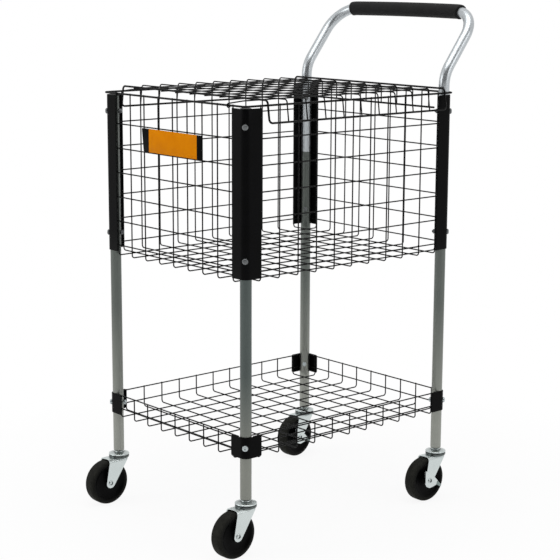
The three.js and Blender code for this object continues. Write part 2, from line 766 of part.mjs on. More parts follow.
// Brake lever: a sheet cam that turns on the axle outside the fork, with a turned-out flange
const leverThickness = 2.2;
const leverFlange = 7;
const leverInner = forkOuter + clearance;
const leverOuter = leverInner + leverThickness;
const leverOutlineShares = [
  [-0.34, 0.5], [-0.12, 0.46], [0.36, 0.06], [0.52, -0.1], [0.74, -0.34], [0.68, -0.42],
  [0.44, -0.26], [0.24, -0.32], [0, -0.36], [-0.22, -0.26], [-0.32, -0.06],
];
const leverOutline = leverOutlineShares.map(([y, z]) => [y * wheelRadius, z * wheelRadius]);
const [flangeY, flangeTop] = leverOutline[0];
const flangeBottom = leverOutline.at(-1)[1];
const leverHole = turnedAlongX([
  [0, leverInner - overrun],
  [axleHoleRadius, leverInner - overrun],
  [axleHoleRadius, leverOuter + overrun],
  [0, leverOuter + overrun],
], smallSides);
const lever = cut(joined([
  sheetAcrossX(leverOutline, leverInner, leverThickness),
  block([leverInner, leverOuter + leverFlange], [flangeY, flangeY + leverThickness], [flangeBottom, flangeTop]),
]), [leverHole]);

function axle(outerFace) {
  return turnedAlongX([
    [0, -forkOuter - clearance - axleHeadHeight],
    [axleHeadRadius, -forkOuter - clearance - axleHeadHeight],
    [axleHeadRadius, -forkOuter - clearance],
    [axleRadius, -forkOuter - clearance],
    [axleRadius, outerFace + clearance],
    [axleHeadRadius, outerFace + clearance],
    [axleHeadRadius, outerFace + clearance + axleHeadHeight],
    [0, outerFace + clearance + axleHeadHeight],
  ], smallSides);
}

// How far each caster has swivelled as the cart stands, in degrees about its stem
const casterTurns = { front_left: -0.5, front_right: 1.5, rear_left: 5, rear_right: -1.5 };
for (const corner of corners) {
  const caster = new THREE.Group();
  caster.position.set(corner.x * halfX, corner.y * halfY, 0);
  caster.rotation.z = THREE.MathUtils.degToRad(casterTurns[corner.name]);
  cart.add(caster);
  addPiece(`${corner.name}_caster_stem`, stem, 'zinc').position.set(corner.x * halfX, corner.y * halfY, 0);
  addPiece(`${corner.name}_caster_fork`, fork, 'zinc', caster);
  const braked = corner.y > 0;
  const running = [
    addPiece(`${corner.name}_axle`, axle(braked ? leverOuter : forkOuter), 'zinc', caster),
    addPiece(`${corner.name}_wheel`, wheel, 'blackRubber', caster),
  ];
  if (braked) running.push(addPiece(`${corner.name}_brake_lever`, lever, 'zinc', caster));
  for (const piece of running) piece.position.set(0, -wheelTrail, wheelRadius);
}

// The origin is on the floor under the middle of the cart's box.
cart.updateMatrixWorld(true);
const box = new THREE.Box3().setFromObject(cart, true);
cart.position.set(-(box.min.x + box.max.x) / 2, -(box.min.y + box.max.y) / 2, -box.min.z);

export default cart;
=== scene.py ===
import math

import bpy
import numpy as np
from mathutils import Matrix


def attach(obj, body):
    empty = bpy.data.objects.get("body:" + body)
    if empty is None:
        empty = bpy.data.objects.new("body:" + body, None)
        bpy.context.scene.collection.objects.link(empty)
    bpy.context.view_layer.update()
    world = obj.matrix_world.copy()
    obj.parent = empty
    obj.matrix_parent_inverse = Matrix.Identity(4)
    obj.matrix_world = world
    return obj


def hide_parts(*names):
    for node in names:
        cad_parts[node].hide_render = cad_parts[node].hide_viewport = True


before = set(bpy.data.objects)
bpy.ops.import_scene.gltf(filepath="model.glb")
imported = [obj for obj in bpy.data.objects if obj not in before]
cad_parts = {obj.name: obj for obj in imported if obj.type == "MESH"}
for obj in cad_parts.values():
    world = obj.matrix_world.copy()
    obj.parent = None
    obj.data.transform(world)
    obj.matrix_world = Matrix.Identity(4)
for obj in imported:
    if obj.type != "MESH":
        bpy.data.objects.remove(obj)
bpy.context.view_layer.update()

# Camera: a long lens at chest height, in front of the cart and to its right, looking down a
# little. Its axes are the columns of a turn, written as unit vectors.
camera_place = (2.77680, -2.42461, 1.25530)
camera_right = (0.65488791, 0.75571453, 0.00416792)
camera_up = (-0.14834611, 0.12314220, 0.98123872)
camera_back = (0.74102311, -0.64321967, 0.19275165)

camera_data = bpy.data.cameras.new("camera")
camera_data.sensor_fit = "HORIZONTAL"
camera_data.sensor_width = 36.0
camera_data.lens = 102.73
camera_data.clip_end = 100.0
camera = bpy.data.objects.new("camera", camera_data)
bpy.context.scene.collection.objects.link(camera)
camera.matrix_world = Matrix(
    [[*row, place] for row, place in zip(zip(camera_right, camera_up, camera_back), camera_place)]
    + [[0, 0, 0, 1]]
)
bpy.context.scene.camera = camera

# Studio: a wide pale floor under a plain white surround, lit by three large soft panels. Mirrored
# rays find the surround darker on one side, as in a studio with an open end. The floor turns
# white away from the object and keeps its shadow near it.
bpy.context.scene.view_settings.view_transform = "Standard"


def colour(hex_text):
    """An sRGB hex value as linear RGBA: c/12.92 in the darks, ((c + 0.055)/1.055)^2.4 above."""
    share = np.array([int(hex_text[i:i + 2], 16) for i in (1, 3, 5)]) / 255.0
    linear = np.where(share <= 0.04045, share / 12.92, ((share + 0.055) / 1.055) ** 2.4)
    return (*linear.tolist(), 1.0)


def add_node(tree, kind, sockets=None, links=None, **settings):
    """A new node with its properties, its socket values, and its inputs linked to (node, output)."""
    node = tree.nodes.new(kind)
    for key, value in settings.items():
        setattr(node, key, value)
    for key, value in (sockets or {}).items():
        node.inputs[key].default_value = value
    for key, (source, output) in (links or {}).items():
        tree.links.new(source.outputs[output], node.inputs[key])
    return node


def new_material(name):
    """An empty node material and its tree."""
    material = bpy.data.materials.new(name)
    material.use_nodes = True
    material.node_tree.nodes.clear()
    return material, material.node_tree


surround = bpy.data.worlds.new("white_surround")
surround.use_nodes = True
surround.node_tree.nodes.clear()
bpy.context.scene.world = surround
tree = surround.node_tree
ray = add_node(tree, "ShaderNodeLightPath")
seen = add_node(tree, "ShaderNodeMath", links={0: (ray, "Is Camera Ray"), 1: (ray, "Is Transmission Ray")},
                operation="MAXIMUM")
way = add_node(tree, "ShaderNodeTexCoord")
open_end = add_node(tree, "ShaderNodeVectorMath", {1: (0.74, -0.67, 0.0)}, {0: (way, "Generated")},
                    operation="DOT_PRODUCT")
room = add_node(tree, "ShaderNodeMapRange", {"From Min": 0.05, "From Max": 0.75, "To Min": 0.85,
                                             "To Max": 0.08}, {"Value": (open_end, "Value")})
mirror_light = add_node(tree, "ShaderNodeBackground", {"Color": (1, 1, 1, 1)}, {"Strength": (room, 0)})
fill_light = add_node(tree, "ShaderNodeBackground", {"Color": colour("#f4f6fa"), "Strength": 0.45})
white = add_node(tree, "ShaderNodeBackground", {"Color": (1, 1, 1, 1), "Strength": 1.0})
blend = add_node(tree, "ShaderNodeMixShader", links={0: (ray, "Is Glossy Ray"), 1: (fill_light, 0),
                                                     2: (mirror_light, 0)})
blend = add_node(tree, "ShaderNodeMixShader", links={0: (seen, 0), 1: (blend, 0), 2: (white, 0)})
add_node(tree, "ShaderNodeOutputWorld", links={"Surface": (blend, 0)})

floor_reach = 30.0
floor_drop = 0.0004
floor_mesh = bpy.data.meshes.new("studio_floor")
floor_corners = floor_reach * np.array([(-1, -1), (1, -1), (1, 1), (-1, 1)])
floor_mesh.from_pydata([(x, y, -floor_drop) for x, y in floor_corners.tolist()], [], [(0, 1, 2, 3)])
studio_floor = bpy.data.objects.new("studio_floor", floor_mesh)
bpy.context.scene.collection.objects.link(studio_floor)
floor_paper, tree = new_material("matte_white_floor_paper")
ray = add_node(tree, "ShaderNodeLightPath")
seen = add_node(tree, "ShaderNodeMath", links={0: (ray, "Is Camera Ray"), 1: (ray, "Is Transmission Ray")},
                operation="MAXIMUM")
seen = add_node(tree, "ShaderNodeMath", links={0: (seen, 0), 1: (ray, "Is Glossy Ray")}, operation="MAXIMUM")
place = add_node(tree, "ShaderNodeTexCoord")
away = add_node(tree, "ShaderNodeVectorMath", links={0: (place, "Object")}, operation="LENGTH")
away = add_node(tree, "ShaderNodeMapRange", {"From Min": 0.35, "From Max": 1.1, "To Min": 0.9, "To Max": 1.0},
                {"Value": (away, "Value")})
glow_share = add_node(tree, "ShaderNodeMath", links={0: (seen, 0), 1: (away, 0)}, operation="MULTIPLY")
paper = add_node(tree, "ShaderNodeBsdfDiffuse", {"Color": colour("#f4f4f3")})
glow = add_node(tree, "ShaderNodeEmission", {"Color": (1, 1, 1, 1), "Strength": 1.0})
blend = add_node(tree, "ShaderNodeMixShader", links={0: (glow_share, 0), 1: (paper, 0), 2: (glow, 0)})
add_node(tree, "ShaderNodeOutputMaterial", links={"Surface": (blend, 0)})
floor_mesh.materials.append(floor_paper)


def soft_panel(name, place, target, size, watts):
    """A square lamp at a place, turned to face a target."""
    data = bpy.data.lights.new(name, "AREA")
    data.shape = "SQUARE"
    data.size = size
    data.energy = watts
    lamp = bpy.data.objects.new(name, data)
    bpy.context.scene.collection.objects.link(lamp)
    back = np.array(place, float) - np.array(target, float)
    back /= np.linalg.norm(back)
    right = np.cross((0.0, 0.0, 1.0) if abs(back[2]) < 0.99 else (0.0, 1.0, 0.0), back)
    right /= np.linalg.norm(right)
    up = np.cross(back, right)
    lamp.matrix_world = Matrix([[right[k], up[k], back[k], place[k]] for k in range(3)] + [[0, 0, 0, 1]])


soft_panel("overhead_panel", (0.3, -0.4, 3.4), (0.0, 0.0, 0.5), 2.6, 52.0)
soft_panel("left_panel", (-1.6, -3.4, 1.9), (0.0, 0.0, 0.6), 1.8, 26.0)
soft_panel("right_panel", (3.6, 1.2, 2.0), (0.0, 0.0, 0.6), 1.6, 20.0)

# Legs: four straight steel tubes, 25 mm across with a 1.5 mm wall, sprayed with silver enamel.
# The rear ones stop where the handle plugs in, the front ones just under the rim.
leg_x = 236.5
leg_y = 296.0
tube_radius = 12.5
bore_radius = 11.0
leg_bottom = 123.1
front_leg_top = 963.85
handle_joint = 792.5
corners = {"front_left": (-1, -1), "front_right": (1, -1), "rear_left": (-1, 1), "rear_right": (1, 1)}

# The cart is drawn about the middle of its legs, its heights taken from 1.2 mm over the floor. The
# frame's origin is on the floor under the middle of its box.
middle_of_legs = np.array([0.0, -18.8094, 1.2])


def in_frame(points):
    """Cart millimetres to frame metres: add the middle of the legs and divide by a thousand."""
    return (np.asarray(points, float) + middle_of_legs) / 1000.0


def ring_faces(rings, sides, looped=False):
    """Quads from each ring to the next, and one many-sided face over each open end."""
    i, j = np.meshgrid(np.arange(rings if looped else rings - 1), np.arange(sides), indexing="ij")
    next_i, next_j = (i + 1) % rings, (j + 1) % sides
    quads = np.stack([i * sides + j, i * sides + next_j, next_i * sides + next_j, next_i * sides + j], -1)
    faces = quads.reshape(-1, 4).tolist()
    if looped:
        return faces
    return faces + [list(range(sides))[::-1], list(range((rings - 1) * sides, rings * sides))]


def turned(profile, centre=(0, 0, 0), axis=(0, 0, 1), sides=40):
    """Centre + axis * along + radius * (side cos a + across sin a), for the profile's (radius, along)
    and a round a full turn. A profile that ends where it starts makes a tube."""
    profile = np.asarray(profile, float)
    looped = bool(np.allclose(profile[0], profile[-1]))
    profile = profile[:-1] if looped else profile
    axis = np.asarray(axis, float) / np.linalg.norm(axis)
    side = np.cross((0.0, 1.0, 0.0) if abs(axis[1]) < 0.9 else (0.0, 0.0, 1.0), axis)
    side /= np.linalg.norm(side)
    across = np.cross(axis, side)
    angle = 2 * np.pi * (np.arange(sides) + 0.5) / sides
    ring = np.cos(angle)[:, None] * side + np.sin(angle)[:, None] * across
    points = np.asarray(centre, float) + profile[:, 1, None, None] * axis + profile[:, 0, None, None] * ring
    return points.reshape(-1, 3), ring_faces(len(profile), sides, looped)


def make_piece(name, parts, material, body, nodes=(), sharp=38.0, solidify=0.0, bevel=0.0):
    """One mesh from several (points, faces) parts, smooth where faces meet at less than an angle,
    with an optional wall thickness and edge rounding in millimetres."""
    starts = np.cumsum([0] + [len(points) for points, _ in parts])
    faces = [[index + int(start) for index in face]
             for (_, part), start in zip(parts, starts) for face in part]
    mesh = bpy.data.meshes.new(name)
    mesh.from_pydata(in_frame(np.concatenate([points for points, _ in parts])), [], faces)
    mesh.polygons.foreach_set("use_smooth", np.ones(len(faces), dtype=bool))
    mesh.set_sharp_from_angle(angle=math.radians(sharp))
    mesh.materials.append(material)
    piece = bpy.data.objects.new(name, mesh)
    bpy.context.scene.collection.objects.link(piece)
    if solidify:
        wall = piece.modifiers.new("wall", "SOLIDIFY")
        wall.thickness = solidify / 1000.0
        wall.offset = 0.0
        wall.use_even_offset = True
    if bevel:
        edge = piece.modifiers.new("edge", "BEVEL")
        edge.width = bevel / 1000.0
        edge.segments = 2
        edge.limit_method = "ANGLE"
        edge.angle_limit = math.radians(40.0)
        edge.harden_normals = False
    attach(piece, body)
    if nodes:
        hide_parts(*nodes)
    return piece


def coating(name, dark, light, metallic, roughness, cloud_mm, speck_mm, bump_mm, specular=0.5,
            height_shade=None, painted_shade=None):
    """A sprayed or dipped coat: colour drifts between two hex values in soft clouds and fine specks,
    roughness drifts with the clouds, and a fine dimpled skin is raised by bump_mm. A height_shade of (low,
    high, shares) multiplies the colour by shares that fall from one to their values between two heights:
    painted shade. Painted_shade is a hex value that takes over where the mesh's own painted_shade share goes
    to one: shade painted into hollows, grooves and edges."""
    material, tree = new_material(name)
    place = add_node(tree, "ShaderNodeTexCoord")
    here = {"Vector": (place, "Object")}
    cloud = add_node(tree, "ShaderNodeTexNoise", {"Scale": 1000.0 / cloud_mm, "Detail": 3.0}, here)
    speck = add_node(tree, "ShaderNodeTexNoise", {"Scale": 1000.0 / speck_mm, "Detail": 1.0}, here)
    both = add_node(tree, "ShaderNodeMath", links={0: (cloud, 0), 1: (speck, 0)}, operation="ADD")
    share = add_node(tree, "ShaderNodeMapRange",
                     {"From Min": 0.7, "From Max": 1.3, "To Min": 0.0, "To Max": 1.0}, {"Value": (both, 0)})
    tint = add_node(tree, "ShaderNodeMix", {"A": colour(dark), "B": colour(light)}, {"Factor": (share, 0)},
                    data_type="RGBA")
    if height_shade:
        spot = add_node(tree, "ShaderNodeSeparateXYZ", links={0: (place, "Object")})
        dims = [add_node(tree, "ShaderNodeMapRange", {"From Min": height_shade[0], "From Max": height_shade[1], "To Min": 1.0,
                                                      "To Max": low_share}, {"Value": (spot, "Z")})
                for low_share in height_shade[2]]
        dim = add_node(tree, "ShaderNodeCombineColor", links={k: (dims[k], 0) for k in range(3)})
        tint = add_node(tree, "ShaderNodeMix", {"Factor": 1.0}, {"A": (tint, "Result"), "B": (dim, 0)},
                        data_type="RGBA", blend_type="MULTIPLY")
    if painted_shade:
        shade_share = add_node(tree, "ShaderNodeAttribute", attribute_name="painted_shade")
        tint = add_node(tree, "ShaderNodeMix", {"B": colour(painted_shade)},
                        {"Factor": (shade_share, "Fac"), "A": (tint, "Result")}, data_type="RGBA")
    gloss = add_node(tree, "ShaderNodeMapRange", {"From Min": 0.3, "From Max": 0.7,
                                                  "To Min": roughness - 0.06, "To Max": roughness + 0.08},
                     {"Value": (cloud, 0)})
    skin = add_node(tree, "ShaderNodeBump", {"Strength": 0.35, "Distance": bump_mm / 1000.0},
                    {"Height": (speck, 0)})
    shader = add_node(tree, "ShaderNodeBsdfPrincipled",
                      {"Metallic": metallic, "Specular IOR Level": specular},
                      {"Base Color": (tint, "Result"), "Roughness": (gloss, 0), "Normal": (skin, 0)})
    add_node(tree, "ShaderNodeOutputMaterial", links={"Surface": (shader, 0)})
    return material


# Silver spray enamel: fine aluminium flake under a satin top coat, a mid grey with a soft gleam
# Both leg enamels are painted darker up the legs, from about the tray upwards: painted shade under the dark
# basket and tray
leg_enamel = coating("silver_spray_enamel", "#91938c", "#999b95", 0.85, 0.36, 90.0, 1.4, 0.002,
                     height_shade=(0.18, 0.48, (0.44, 0.475, 0.48)))
# The same enamel painted a shade deeper for the near leg: painted shade
near_leg_painted_shade_enamel = coating("silver_spray_enamel_painted_deeper", "#83857e", "#8b8d86", 0.85, 0.36, 90.0, 1.4, 0.002,
                       height_shade=(0.2, 0.4, (0.38, 0.44, 0.47)))


def tube_profile(bottom, top, outer, inner, edge=0.5):
    """A tube's wall in section, closed on itself, its outer and inner rims eased by an edge."""
    return [(outer - edge, bottom), (outer, bottom + edge), (outer, top - edge), (outer - edge, top),
            (inner, top), (inner, bottom), (outer - edge, bottom)]


for corner, (sign_x, sign_y) in corners.items():
    top = front_leg_top if sign_y < 0 else handle_joint
    wall = tube_profile(leg_bottom, top, tube_radius, bore_radius)
    part = turned(wall, (sign_x * leg_x, sign_y * leg_y, 0))
    make_piece(f"{corner}_leg_tube", [part], near_leg_painted_shade_enamel if corner == "front_right" else leg_enamel, "frame",
               [f"{corner}_leg"])

# Leg caps: black plastic plugs pressed into the open tops of the two front legs, moulded in one
# piece with a thin rounded head.
# Moulded polyethylene: a black, half-matte skin with a faint grain
cap_plastic = coating("black_moulded_plastic", "#0c0d0d", "#151616", 0.0, 0.5, 18.0, 1.2, 0.02, 0.2)
cap_seat = front_leg_top + 0.3
for corner in ("front_left", "front_right"):
    sign_x, sign_y = corners[corner]
    profile = [(10.0, cap_seat - 12.0), (10.4, cap_seat - 11.6), (10.4, cap_seat), (12.2, cap_seat),
               (12.5, cap_seat + 0.4), (12.4, cap_seat + 1.1), (11.9, cap_seat + 1.7), (11.0, cap_seat + 2.1),
               (8.0, cap_seat + 2.35), (3.0, cap_seat + 2.4)]
    part = turned(profile, (sign_x * leg_x, sign_y * leg_y, 0))
    make_piece(f"{corner}_cap", [part], cap_plastic, "frame", [f"{corner}_leg_cap"])

# Push handle: one steel tube bent into a hoop that leans back, sprayed like the legs but seen
# brighter. Its bar is bowed by 3.6 mm. Its two ends are drawn down and plug into the rear legs.
lean_height = 1010.89
bar_y = 404.1
bar_height = 1150.2
bar_bow = 3.6
lean = math.radians(37.81)
lean_radius = 73.6
bar_corner_radius = 68.0
bow_radius = 9000.0
joint_gap = 0.3


def rounded_path(corner_points, radii, steps=14, looped=False):
    """A line through points with each corner replaced by an arc: start + r (u sin a + n (1 - cos a)),
    for a from nothing to the corner's turn, with u the way in and n the way that the turn leans."""
    points = [np.asarray(point, float) for point in corner_points]
    count = len(points)
    turns = range(count) if looped else range(1, count - 1)
    pieces = [] if looped else [points[0][None]]
    for k, radius in zip(turns, radii):
        here = points[k]
        way_in = here - points[k - 1]
        way_in /= np.linalg.norm(way_in)
        way_out = points[(k + 1) % count] - here
        way_out /= np.linalg.norm(way_out)
        turn = math.acos(max(-1.0, min(1.0, float(way_in @ way_out))))
        lean = way_out - (way_out @ way_in) * way_in
        lean /= np.linalg.norm(lean)
        start = here - way_in * radius * math.tan(turn / 2)
        angle = np.linspace(0.0, turn, steps + 1)[:, None]
        pieces.append(start + radius * (way_in * np.sin(angle) + lean * (1 - np.cos(angle))))
    if not looped:
        pieces.append(points[-1][None])
    return np.concatenate(pieces)


def carried(path, radius, beside, sides=24, looped=False, ends=(0.0, 0.0)):
    """A round rod along a path: point + radius * (n cos a + (t x n) sin a), where t is the way along and
    n is the beside direction made square to t. An end share above nothing rounds that end's rim."""
    path = np.asarray(path, float)
    radii = np.full(len(path), float(radius))
    if not looped and any(ends):
        first = path[1] - path[0]
        first /= np.linalg.norm(first)
        last = path[-1] - path[-2]
        last /= np.linalg.norm(last)
        if ends[0]:
            path = np.concatenate([path[:1], path[:1] + first * radius * ends[0], path[1:]])
            radii = np.concatenate([[radius * (1 - ends[0] * 0.6)], radii])
        if ends[1]:
            path = np.concatenate([path[:-1], path[-1:] - last * radius * ends[1], path[-1:]])
            radii = np.concatenate([radii, [radius * (1 - ends[1] * 0.6)]])
    if looped:
        along = np.roll(path, -1, axis=0) - np.roll(path, 1, axis=0)
    else:
        along = np.gradient(path, axis=0)
    along /= np.linalg.norm(along, axis=1, keepdims=True)
    out = np.asarray(beside, float) - (along @ np.asarray(beside, float))[:, None] * along
    out /= np.linalg.norm(out, axis=1, keepdims=True)
    over = np.cross(along, out)
    angle = 2 * np.pi * np.arange(sides) / sides
    ring = out[:, None] * np.cos(angle)[None, :, None] + over[:, None] * np.sin(angle)[None, :, None]
    points = path[:, None] + radii[:, None, None] * ring
    return points.reshape(-1, 3), ring_faces(len(path), sides, looped)


bow_y, bow_z = bar_bow * math.sin(lean), bar_bow * math.cos(lean)
handle_corners = [(-leg_x, leg_y, handle_joint + joint_gap), (-leg_x, leg_y, lean_height),
                  (-leg_x, bar_y, bar_height), (0.0, bar_y + bow_y, bar_height + bow_z),
                  (leg_x, bar_y, bar_height), (leg_x, leg_y, lean_height),
                  (leg_x, leg_y, handle_joint + joint_gap)]
handle_path = rounded_path(handle_corners, [lean_radius, bar_corner_radius, bow_radius, bar_corner_radius,
                                            lean_radius], 24)
# Silver spray enamel again, painted paler than the legs' so that the hoop comes out brighter: painted light
hoop_painted_light_enamel = coating("silver_spray_enamel_painted_paler", "#b9bec1", "#c0c5c8", 0.9, 0.31, 90.0, 1.4, 0.002)
hoop = carried(handle_path, tube_radius, (0.0, math.cos(lean), -math.sin(lean)), 40, ends=(0.04, 0.04))
make_piece("push_handle", [hoop], hoop_painted_light_enamel, "frame", ["handle_tube"])

# Grip: a black foam sleeve rolled onto the straight bar of the handle and a little way round each
# bend, 369 mm long, with soft cut ends. Its closed cells make it quite matte.
grip_half = 184.5
grip_radius = 17.2
grip_bore = 12.7
grip_rounding = 2.6
bar_run = handle_path[np.abs(handle_path[:, 0]) <= leg_x]
run_length = np.concatenate([[0.0], np.cumsum(np.linalg.norm(np.diff(bar_run, axis=0), axis=1))])
from_middle = run_length - np.interp(0.0, bar_run[:, 0], run_length)


def sleeve(half_length, bore, radius, rounding, stations=60, sides=56):
    """A thick sleeve about the handle's own path. At a distance from the middle its outer radius is the
    full one less rounding * (1 - sqrt(1 - u^2)), where u grows from nothing to one over the last rounding."""
    end_stations = half_length - rounding * np.linspace(0.04, 1.0, 6)
    distance = np.concatenate([np.linspace(-half_length, half_length, stations), -end_stations, end_stations])
    distance = np.sort(distance)
    path = np.stack([np.interp(distance, from_middle, bar_run[:, k]) for k in range(3)], -1)
    u = np.clip((np.abs(distance) - (half_length - rounding)) / rounding, 0.0, 1.0)
    outer = radius - rounding * (1 - np.sqrt(1 - u ** 2))
    along = np.gradient(path, axis=0)
    along /= np.linalg.norm(along, axis=1, keepdims=True)
    square = np.array([0.0, math.cos(lean), -math.sin(lean)])
    over = np.cross(along, square)
    angle = 2 * np.pi * np.arange(sides) / sides
    ring = square * np.cos(angle)[None, :, None] + over[:, None] * np.sin(angle)[None, :, None]
    outside = path[:, None] + outer[:, None, None] * ring
    inside = (path[:, None] + bore * ring)[::-1]
    points = np.concatenate([outside, inside]).reshape(-1, 3)
    return points, ring_faces(2 * len(path), sides, looped=True)


# Closed-cell rubber foam, ground on a lathe: half-millimetre cells give a dry, dark skin
grip_foam, tree = new_material("black_rubber_foam")
place = add_node(tree, "ShaderNodeTexCoord")
here = {"Vector": (place, "Object")}
cells = add_node(tree, "ShaderNodeTexVoronoi", {"Scale": 1000.0 / 1.1}, here)
mottle = add_node(tree, "ShaderNodeTexNoise", {"Scale": 1000.0 / 14.0, "Detail": 4.0}, here)
share = add_node(tree, "ShaderNodeMapRange", {"From Min": 0.3, "From Max": 0.7}, {"Value": (mottle, 0)})
tint = add_node(tree, "ShaderNodeMix", {"A": colour("#0e0e0f"), "B": colour("#171718")},
                {"Factor": (share, 0)}, data_type="RGBA")
skin = add_node(tree, "ShaderNodeBump", {"Strength": 0.6, "Distance": 0.0002},
                {"Height": (cells, "Distance")})
shader = add_node(tree, "ShaderNodeBsdfPrincipled", {"Roughness": 0.7, "Specular IOR Level": 0.2},
                  {"Base Color": (tint, "Result"), "Normal": (skin, 0)})
add_node(tree, "ShaderNodeOutputMaterial", links={"Surface": (shader, 0)})
grip = sleeve(grip_half, grip_bore, grip_radius, grip_rounding)
make_piece("foam_grip", [grip], grip_foam, "frame", ["handle_grip"])

# Corner brackets: 2 mm sheet steel folded round the outside of each tube, powder coated black.
# Long ones carry the basket's panels, short ones with cut corners carry the tray's.
bracket_middle = 13.8
basket_reach = (28.5, 31.0)
basket_bracket_span = (607.0, 965.85)
tray_reach = (32.3, 32.3)
tray_bracket_span = (216.3, 263.8)
tray_corner_cut = 2.8
bracket_sheet = 2.0
# Black powder coat: satin, nearly flat, with a faint orange peel
bracket_coat = coating("black_powder_coat", "#060606", "#0b0b0c", 0.0, 0.4, 40.0, 2.2, 0.03, 0.04)


def grid_faces(rows, columns):
    """Quads between the neighbours in a grid of points that are given row by row."""
    i, j = np.meshgrid(np.arange(rows - 1), np.arange(columns - 1), indexing="ij")
    here, below = i * columns + j, (i + 1) * columns + j
    return np.stack([here, below, below + 1, here + 1], -1).reshape(-1, 4)


def folded_bracket(signs, reach, span, cut, stations=9, levels=9):
    """A sheet's middle surface. Across: flange, quarter circle, flange about the leg. Up: from bottom to
    top, less a cut that grows as the flange's end comes nearer than the cut."""
    angle = np.linspace(np.pi / 2, 0.0, 15)
    fold = np.full(stations, bracket_middle)
    flange_x = np.stack([np.linspace(-reach[0], 0.0, stations + 1)[:-1], fold], -1)
    arc = bracket_middle * np.stack([np.cos(angle), np.sin(angle)], -1)
    flange_y = np.stack([fold, np.linspace(0.0, -reach[1], stations + 1)[1:]], -1)
    if cut:
        near = np.array([0.35, 0.7, 1.0]) * cut
        flange_x = np.concatenate([flange_x[:1], flange_x[:1] + np.stack([near, near * 0], -1), flange_x[2:]])
        flange_y = np.concatenate([flange_y[:-2], flange_y[-1:] + np.stack([near * 0, near], -1)[::-1],
                                   flange_y[-1:]])
    line = np.concatenate([flange_x, arc, flange_y])
    to_end = np.minimum(line[:, 0] + reach[0], line[:, 1] + reach[1])
    trim = np.clip(cut - to_end, 0.0, None)
    up = np.linspace(0.0, 1.0, levels)
    height = (span[0] + trim)[:, None] + (span[1] - span[0] - 2 * trim)[:, None] * up
    flat = np.repeat((line * np.asarray(signs))[:, None], levels, axis=1) + np.array([leg_x, leg_y]) * signs
    points = np.concatenate([flat, height[..., None]], -1).reshape(-1, 3)
    quads = grid_faces(len(line), levels)
    if signs[0] * signs[1] < 0:
        quads = quads[:, ::-1]
    return points, quads[:, ::-1].tolist()


for corner, signs in corners.items():
    for kind, reach, span, cut in (("basket", basket_reach, basket_bracket_span, 0.0),
                                   ("tray", tray_reach, tray_bracket_span, tray_corner_cut)):
        make_piece(f"{corner}_{kind}_angle", [folded_bracket(signs, reach, span, cut)], bracket_coat, "frame",
                   [f"{corner}_{kind}_bracket"], solidify=bracket_sheet, bevel=0.5)

# Bolts: dull plated steel, through bracket and tube on the corner's diagonal. The basket's have a
# low dome, the tray's a zinc head with a hex socket. A nut and a short tail show inside the tube.
bolt_heights = {"top": 927.85, "bottom": 647.0}
tray_bolt_height = 240.05
bolt_radius = 3.0
bolt_head_radius = 6.4
bolt_head_seat = 15.1
nut_seat = -12.8
socket_apothem = 2.3
socket_depth = 3.0
# Dull zinc plate gone grey: a worn, cloudy metal
bolt_steel = coating("dull_plated_steel", "#5e6061", "#808384", 0.75, 0.45, 6.0, 0.8, 0.04)
# Bright zinc plate: bluish white with soft clouds where the bath passivated it unevenly
bolt_zinc = coating("bright_zinc_plate", "#a9b1b3", "#c9d1d2", 0.95, 0.3, 9.0, 0.9, 0.02)


def socket_head(profile, centre, axis, apothem, depth, sides=36):
    """A turned profile closed by a hexagonal socket. The socket's rings lie at apothem / cos(b), where b
    is the angle from the nearest flat's middle: one at the face and one below it by the depth."""
    rings = [(apothem, profile[-1][1]), (apothem, profile[-1][1] - depth)]
    points, faces = turned(list(profile) + rings, centre, axis, sides)
    b = np.mod(2 * np.pi * (np.arange(sides) + 0.5) / sides, np.pi / 3) - np.pi / 6
    for ring in (points[-sides:], points[-2 * sides:-sides]):
        middle = ring.mean(axis=0)
        ring[:] = middle + (ring - middle) / np.cos(b)[:, None]
    return points, faces


def domed_head(face, radius, height, socket):
    """A button head's profile: a short straight rim, then a dome that ends at its socket."""
    angle = np.linspace(0.0, 1.0, 7)[1:] * math.radians(70.0)
    rim = radius - 0.3
    dome = [(socket + (rim - socket) * math.cos(a) ** 0.8, face + 1.4 + (height - 1.4) * math.sin(a))
            for a in angle]
    return [(radius - 0.2, face), (radius, face + 0.3), (radius, face + 1.2), (rim, face + 1.5)] + dome


for corner, signs in corners.items():
    out = (signs[0] / math.sqrt(2), signs[1] / math.sqrt(2), 0.0)
    for end, height in list(bolt_heights.items()) + [("tray", tray_bolt_height)]:
        centre = (signs[0] * leg_x, signs[1] * leg_y, height)
        tray = end == "tray"
        dome_height, socket = (4.4, 3.2) if tray else (4.0, 0.7)
        profile = [(bolt_radius, nut_seat)]
        profile += domed_head(bolt_head_seat, bolt_head_radius, dome_height, socket)
        head = (socket_head(profile, centre, out, socket_apothem, socket_depth) if tray else
                turned(profile, centre, out, 32))
        nut = turned([(5.2, nut_seat - 5.0), (5.7, nut_seat - 4.5), (5.7, nut_seat - 0.5), (5.2, nut_seat)],
                     centre, out, 6)
        tail = turned([(2.4, nut_seat - 7.5), (bolt_radius, nut_seat - 6.9), (bolt_radius, nut_seat)],
                      centre, out, 20)
        names = [] if tray else [f"{corner}_{end}_bolt"]
        finish, slot = (bolt_zinc, "zinc") if tray else (bolt_steel, "dull_steel")
        make_piece(f"{corner}_{end}_bolt_and_nut", [head, nut, tail], finish, "frame", names)

